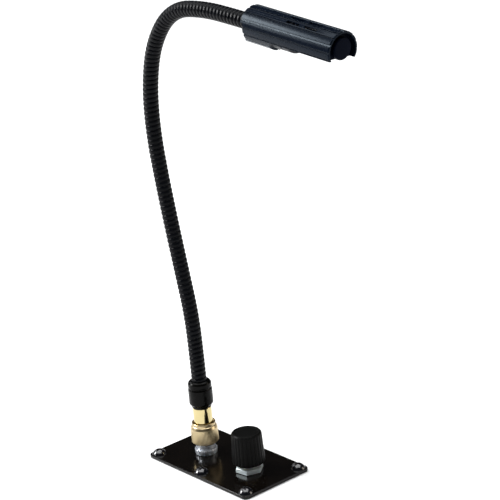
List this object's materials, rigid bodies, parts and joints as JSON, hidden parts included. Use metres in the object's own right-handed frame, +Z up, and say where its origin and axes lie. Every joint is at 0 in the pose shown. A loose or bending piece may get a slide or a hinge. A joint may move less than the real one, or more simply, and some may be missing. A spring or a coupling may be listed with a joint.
{
  "type": "gooseneck panel lamp",
  "caption": "Panel lamp: fluted turning hood on a bendable gooseneck, bayonet plug, and a small black plate with a rotary dimmer.",
  "frame": {"origin": "centre of the mounting plate's underside, on the panel surface", "axes": "+X along the plate from the plug to the dimmer, which is also the way the neck leans; +Y across the plate; +Z up, out of the panel"},
  "size_m": [0.1511, 0.0436, 0.2615],
  "materials": {
    "plate_black": "gloss black powder coat, smooth",
    "screw_black": "black oxide, oiled",
    "jack_nickel": "bright nickel plate",
    "nut_steel": "bright nickel plate",
    "solder_tag": "tinned brass",
    "ptfe": "white PTFE",
    "contact_gold": "gold plated",
    "pot_steel": "plated steel can",
    "phenolic": "carbon track on phenolic board",
    "wire_red": "PVC insulation",
    "wire_black": "PVC insulation",
    "knob_black": "moulded ABS, satin",
    "screw_steel": "dark steel",
    "gasket_red": "silicone rubber",
    "spring_steel": "spring steel",
    "ring_gold": "matte champagne gold plate, knurled",
    "barrel_gold": "polished pale gold plate",
    "sleeve_black": "grained rubber sleeve",
    "neck_black": "satin black on steel coil",
    "socket_black": "moulded, matt",
    "ceramic": "white steatite",
    "glass": "clear quartz",
    "tungsten": "tungsten wire",
    "hood_black": "semi-gloss blue-black paint on extruded aluminium",
    "cap_black": "moulded, satin"
  },
  "bodies": {
    "base": {"mounting_plate": "plate_black", "plate_screws": "screw_black", "jack_body": "jack_nickel", "jack_insulator": "ptfe", "jack_contact": "contact_gold", "jack_washer": "nut_steel", "jack_nut": "nut_steel", "jack_lug": "solder_tag", "pot_housing": "pot_steel", "pot_bushing": "nut_steel", "pot_track": "phenolic", "pot_terminals": "solder_tag", "pot_washer": "nut_steel", "pot_nut": "nut_steel", "signal_wire": "wire_red", "ground_wire": "wire_black"},
    "knob": {"dimmer_knob": "knob_black", "knob_insert": "contact_gold", "knob_set_screw": "screw_steel", "pot_shaft": "pot_steel", "pot_wiper": "spring_steel"},
    "plug_seat": {"plug_gasket": "gasket_red", "wave_washer": "spring_steel"},
    "ring": {"coupling_ring": "ring_gold"},
    "plug": {"plug_body": "barrel_gold", "plug_insulator": "ptfe", "plug_pin": "contact_gold", "strain_sleeve": "sleeve_black", "neck_link_1": "neck_black"},
    "neck_2": {"neck_link_2": "neck_black"},
    "neck_3": {"neck_link_3": "neck_black"},
    "neck_4": {"neck_link_4": "neck_black"},
    "neck_5": {"neck_link_5": "neck_black"},
    "neck_6": {"neck_link_6": "neck_black"},
    "neck_7": {"neck_link_7": "neck_black"},
    "neck_8": {"neck_link_8": "neck_black"},
    "neck_9": {"neck_link_9": "neck_black"},
    "neck_10": {"neck_link_10": "neck_black"},
    "head": {"neck_link_11": "neck_black", "neck_ferrule": "socket_black", "socket_body": "socket_black", "lamp_socket": "ceramic", "socket_contacts": "contact_gold", "head_leads": "wire_red"},
    "lamp": {"lamp_base": "ceramic", "lamp_glass": "glass", "lamp_filament": "tungsten", "lamp_pins": "pot_steel"},
    "hood_collar": {"hood_ring": "spring_steel"},
    "hood": {"hood_shell": "hood_black", "hood_cap": "cap_black"}
  },
  "joints": [
    {"name": "knob_turn", "type": "hinge", "parent": "base", "child": "knob", "pos_m": [0.0177, 0, 0.006], "axis": [0, 0, 1], "range_deg": [-150, 150]},
    {"name": "plug_pull", "type": "slide", "parent": "base", "child": "plug_seat", "axis": [0, 0, 1], "range_m": [0, 0.012]},
    {"name": "coupling_turn", "type": "hinge", "parent": "plug_seat", "child": "ring", "pos_m": [-0.0172, 0, 0.012], "axis": [0, 0, 1], "range_deg": [0, 90]},
    {"name": "neck_swivel", "type": "hinge", "parent": "plug_seat", "child": "plug", "pos_m": [-0.0172, 0, 0.018], "axis": [0, 0, 1], "continuous": true},
    {"name": "neck_bend_1", "type": "hinge", "parent": "plug", "child": "neck_2", "pos_m": [-0.01752, 0, 0.0661], "axis": [0, 1, 0], "range_deg": [-15, 15]},
    {"name": "neck_bend_2", "type": "hinge", "parent": "neck_2", "child": "neck_3", "pos_m": [-0.02007, 0, 0.09004], "axis": [0.9826, 0, 0.1857], "range_deg": [-15, 15]},
    {"name": "neck_bend_3", "type": "hinge", "parent": "neck_3", "child": "neck_4", "pos_m": [-0.02455, 0, 0.11372], "axis": [0, 1, 0], "range_deg": [-15, 15]},
    {"name": "neck_bend_4", "type": "hinge", "parent": "neck_4", "child": "neck_5", "pos_m": [-0.02877, 0, 0.13744], "axis": [0.9863, 0, 0.165], "range_deg": [-15, 15]},
    {"name": "neck_bend_5", "type": "hinge", "parent": "neck_5", "child": "neck_6", "pos_m": [-0.03227, 0, 0.16129], "axis": [0, 1, 0], "range_deg": [-15, 15]},
    {"name": "neck_bend_6", "type": "hinge", "parent": "neck_6", "child": "neck_7", "pos_m": [-0.03324, 0, 0.18534], "axis": [0.999, 0, -0.0454], "range_deg": [-15, 15]},
    {"name": "neck_bend_7", "type": "hinge", "parent": "neck_7", "child": "neck_8", "pos_m": [-0.02903, 0, 0.209], "axis": [0, 1, 0], "range_deg": [-15, 15]},
    {"name": "neck_bend_8", "type": "hinge", "parent": "neck_8", "child": "neck_9", "pos_m": [-0.01674, 0, 0.22948], "axis": [0.7157, 0, -0.6984], "range_deg": [-15, 15]},
    {"name": "neck_bend_9", "type": "hinge", "parent": "neck_9", "child": "neck_10", "pos_m": [0.00453, 0, 0.23972], "axis": [0, 1, 0], "range_deg": [-15, 15]},
    {"name": "neck_bend_10", "type": "hinge", "parent": "neck_10", "child": "head", "pos_m": [0.0286, 0, 0.23995], "axis": [-0.0802, 0, -0.9968], "range_deg": [-15, 15]},
    {"name": "lamp_pull", "type": "slide", "parent": "head", "child": "lamp", "axis": [0.9945, 0, -0.1045], "range_m": [0, 0.006]},
    {"name": "hood_turn", "type": "hinge", "parent": "head", "child": "hood_collar", "pos_m": [0.06354, 0, 0.23657], "axis": [0.9945, 0, -0.1045], "continuous": true},
    {"name": "hood_slide", "type": "slide", "parent": "hood_collar", "child": "hood", "axis": [0.9945, 0, -0.1045], "range_m": [0, 0.045]}
  ]
}
